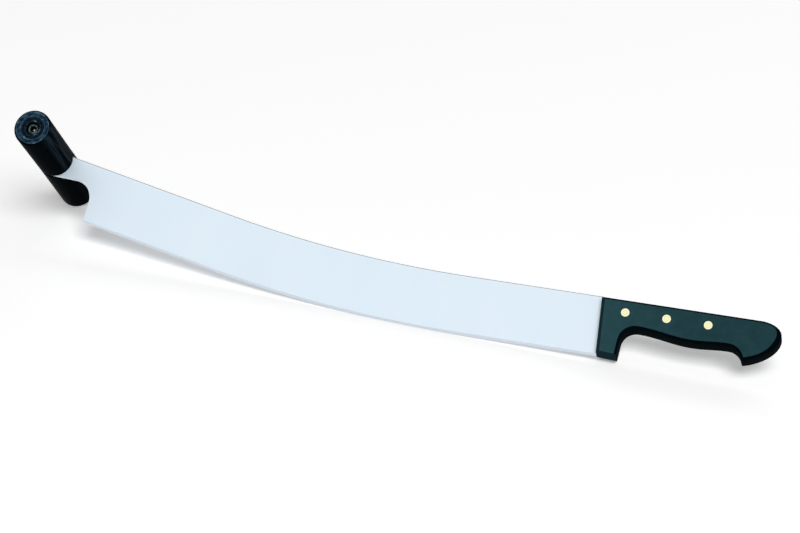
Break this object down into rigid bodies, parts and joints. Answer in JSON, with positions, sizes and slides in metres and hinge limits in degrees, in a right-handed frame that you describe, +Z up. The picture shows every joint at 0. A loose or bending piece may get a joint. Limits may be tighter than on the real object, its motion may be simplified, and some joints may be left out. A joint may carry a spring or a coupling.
{
  "type": "cheese knife",
  "caption": "Long cheese knife with a swept-up blade, a riveted handle with a guard at the heel and a turned cross grip bolted through the tongue at the tip, pressed down from its ends",
  "frame": {"origin": "on the table that the knife lies on, under the middle of its box", "axes": "+X runs along the knife from the cross grip to the butt of the handle, +Z is up from the table, and +Y runs from the cutting edge towards the back"},
  "size_m": [0.5744, 0.1198, 0.1056],
  "materials": {
    "blade_steel": "fine ground stainless steel",
    "scale_plastic": "black moulded plastic with a satin skin",
    "grip_plastic": "black turned plastic, smooth on its sides, with turning marks on its ends",
    "rivet_brass": "pale brass ground flush with the scales",
    "zinc_steel": "bright zinc plating"
  },
  "bodies": {
    "root": {"blade": "blade_steel", "handle_scale_near": "scale_plastic", "handle_scale_far": "scale_plastic", "rivet_front_barrel": "rivet_brass", "rivet_front_pin": "rivet_brass", "rivet_middle_barrel": "rivet_brass", "rivet_middle_pin": "rivet_brass", "rivet_rear_barrel": "rivet_brass", "rivet_rear_pin": "rivet_brass", "cross_grip_near": "grip_plastic", "cross_grip_far": "grip_plastic", "grip_screw": "zinc_steel", "grip_nut": "zinc_steel"}
  },
  "joints": []
}
